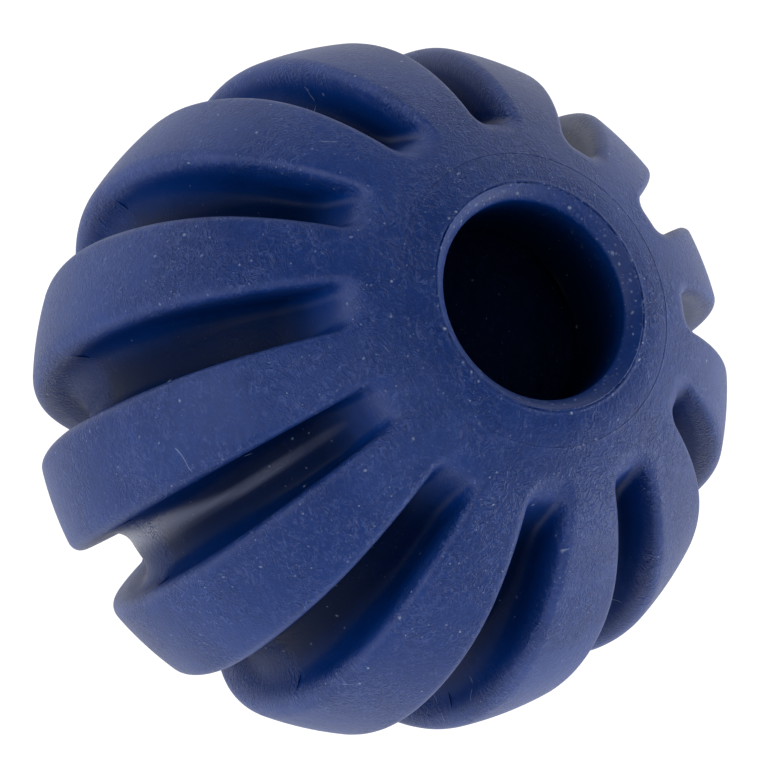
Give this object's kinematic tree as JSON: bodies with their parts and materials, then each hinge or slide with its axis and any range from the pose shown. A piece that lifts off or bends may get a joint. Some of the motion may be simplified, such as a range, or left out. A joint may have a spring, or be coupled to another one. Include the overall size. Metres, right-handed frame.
{
  "type": "treat dispensing ball",
  "caption": "Hollow elastomer ball with meridional grooves and a round, rolled-lip treat mouth; treats drop out of the mouth as the ball rolls.",
  "frame": {"origin": "centre of the flat foot at the rear pole, on the standing plane", "axes": "+Z along the ball's axis from the foot out of the treat mouth; +X through the middle of a rib"},
  "size_m": [0.08, 0.08, 0.0763],
  "materials": {
    "shell": "matt navy-blue moulded elastomer, faint bloom and lint",
    "mouth_ring": "matt navy-blue moulded elastomer, dusted round the lip"
  },
  "bodies": {
    "root": {"front_half_shell": "shell", "rear_half_shell": "shell", "mouth_ring": "mouth_ring"}
  },
  "joints": []
}
